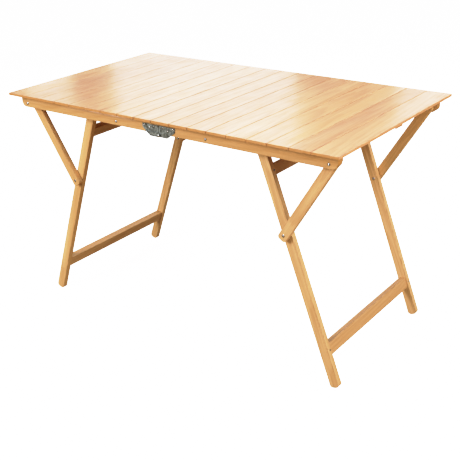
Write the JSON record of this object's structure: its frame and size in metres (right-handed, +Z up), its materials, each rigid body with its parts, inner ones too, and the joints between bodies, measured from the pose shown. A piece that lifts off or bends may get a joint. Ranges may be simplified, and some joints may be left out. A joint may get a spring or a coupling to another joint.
{
  "type": "folding table",
  "caption": "Full-size slatted wooden folding table: the top hinges in the middle and two braced, splayed leg frames fold flat beneath it.",
  "frame": {"origin": "on the floor under the middle of the open top", "axes": "+X along the length of the top, +Y across it toward the back long edge, +Z up"},
  "size_m": [1.25, 0.7, 0.75],
  "materials": {
    "top_wood": "satin clear lacquer",
    "rail_wood": "satin clear lacquer",
    "leg_wood": "satin clear lacquer",
    "zinc_plate": "dull galvanised",
    "steel": "bright zinc plated"
  },
  "bodies": {
    "top_left": {"slat_left_1": "top_wood", "slat_left_2": "top_wood", "slat_left_3": "top_wood", "slat_left_4": "top_wood", "slat_left_5": "top_wood", "slat_left_6": "top_wood", "slat_left_7": "top_wood", "slat_left_8": "top_wood", "slat_left_9": "top_wood", "rail_front_left": "rail_wood", "rail_back_left": "rail_wood", "batten_left": "rail_wood", "hinge_leaf_front_left": "zinc_plate", "hinge_leaf_back_left": "zinc_plate", "hinge_screws_left": "steel", "rail_rivets_left": "steel", "rail_spacers_left": "steel", "hinge_pins": "steel"},
    "braces_left": {"brace_front_left": "leg_wood", "brace_back_left": "leg_wood"},
    "leg_frame_left": {"leg_front_left": "leg_wood", "leg_back_left": "leg_wood", "crossbar_upper_left": "leg_wood", "crossbar_lower_left": "leg_wood", "crossbar_screws_left": "steel", "leg_rivets_left": "steel", "leg_washers_left": "steel", "link_pins_left": "steel"},
    "links_left": {"link_front_left": "zinc_plate", "link_back_left": "zinc_plate"},
    "top_right": {"slat_right_1": "top_wood", "slat_right_2": "top_wood", "slat_right_3": "top_wood", "slat_right_4": "top_wood", "slat_right_5": "top_wood", "slat_right_6": "top_wood", "slat_right_7": "top_wood", "slat_right_8": "top_wood", "slat_right_9": "top_wood", "rail_front_right": "rail_wood", "rail_back_right": "rail_wood", "batten_right": "rail_wood", "hinge_leaf_front_right": "zinc_plate", "hinge_leaf_back_right": "zinc_plate", "hinge_screws_right": "steel", "rail_rivets_right": "steel", "rail_spacers_right": "steel"},
    "braces_right": {"brace_front_right": "leg_wood", "brace_back_right": "leg_wood"},
    "leg_frame_right": {"leg_front_right": "leg_wood", "leg_back_right": "leg_wood", "crossbar_upper_right": "leg_wood", "crossbar_lower_right": "leg_wood", "crossbar_screws_right": "steel", "leg_rivets_right": "steel", "leg_washers_right": "steel", "link_pins_right": "steel"},
    "links_right": {"link_front_right": "zinc_plate", "link_back_right": "zinc_plate"}
  },
  "joints": [
    {"name": "top_fold", "type": "hinge", "parent": "top_left", "child": "top_right", "pos_m": [0, 0, 0.695], "axis": [0, 1, 0], "range_deg": [0, 180]},
    {"name": "brace_swing_left", "type": "hinge", "parent": "top_left", "child": "braces_left", "pos_m": [-0.577, 0, 0.712], "axis": [0, -1, 0], "range_deg": [0, 57.76]},
    {"name": "leg_swing_left", "type": "hinge", "parent": "braces_left", "child": "leg_frame_left", "pos_m": [-0.418, 0, 0.46], "axis": [0, 1, 0], "range_deg": [0, 127.76]},
    {"name": "link_swing_left", "type": "hinge", "parent": "top_left", "child": "links_left", "pos_m": [-0.174, 0, 0.712], "axis": [0, -1, 0], "range_deg": [0, 177.24]},
    {"name": "brace_swing_right", "type": "hinge", "parent": "top_right", "child": "braces_right", "pos_m": [0.577, 0, 0.712], "axis": [0, 1, 0], "range_deg": [0, 57.76]},
    {"name": "leg_swing_right", "type": "hinge", "parent": "braces_right", "child": "leg_frame_right", "pos_m": [0.418, 0, 0.46], "axis": [0, -1, 0], "range_deg": [0, 127.76]},
    {"name": "link_swing_right", "type": "hinge", "parent": "top_right", "child": "links_right", "pos_m": [0.174, 0, 0.712], "axis": [0, 1, 0], "range_deg": [0, 177.24]}
  ],
  "couplings": [
    {"joint": "brace_swing_left", "follows": "top_fold", "ratio": 0.32083},
    {"joint": "leg_swing_left", "follows": "top_fold", "ratio": 0.70972},
    {"joint": "link_swing_left", "follows": "top_fold", "ratio": 0.98465},
    {"joint": "brace_swing_right", "follows": "top_fold", "ratio": 0.32083},
    {"joint": "leg_swing_right", "follows": "top_fold", "ratio": 0.70972},
    {"joint": "link_swing_right", "follows": "top_fold", "ratio": 0.98465}
  ]
}
